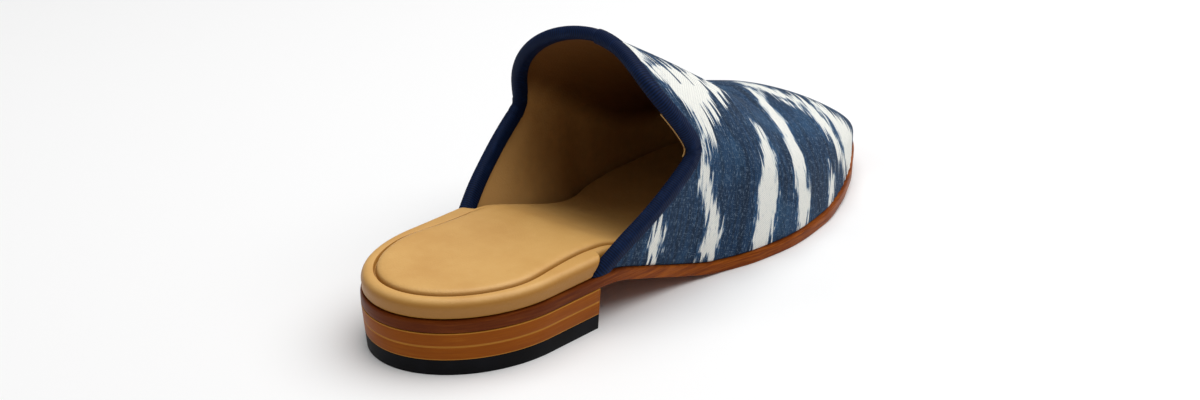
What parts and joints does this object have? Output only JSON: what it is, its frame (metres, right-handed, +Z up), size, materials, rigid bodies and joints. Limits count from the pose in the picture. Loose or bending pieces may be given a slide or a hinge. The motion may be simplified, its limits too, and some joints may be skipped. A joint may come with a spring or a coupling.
{
  "type": "mule shoe",
  "caption": "Right-foot slip-on mule: cloth upper with a raised tongue and bound topline, padded leather footbed, leather sole and a low stacked heel.",
  "frame": {"origin": "on the floor, under the middle of the shoe's bounding box", "axes": "+Z up, +Y towards the toe, +X towards the outside of the right foot"},
  "size_m": [0.101, 0.285, 0.0974],
  "materials": {
    "heel_top_piece": "matte near-black",
    "heel_lift": "waxed stacked leather edge",
    "outsole": "stained and burnished edge",
    "footbed": "smooth tan, padded",
    "upper": "handwoven cotton ikat, indigo and off-white, lined in tan leather",
    "binding": "navy ribbed tape"
  },
  "bodies": {
    "root": {"heel_top_piece": "heel_top_piece", "heel_lift_1": "heel_lift", "heel_lift_2": "heel_lift", "outsole": "outsole", "footbed": "footbed", "upper": "upper", "binding": "binding"}
  },
  "joints": []
}
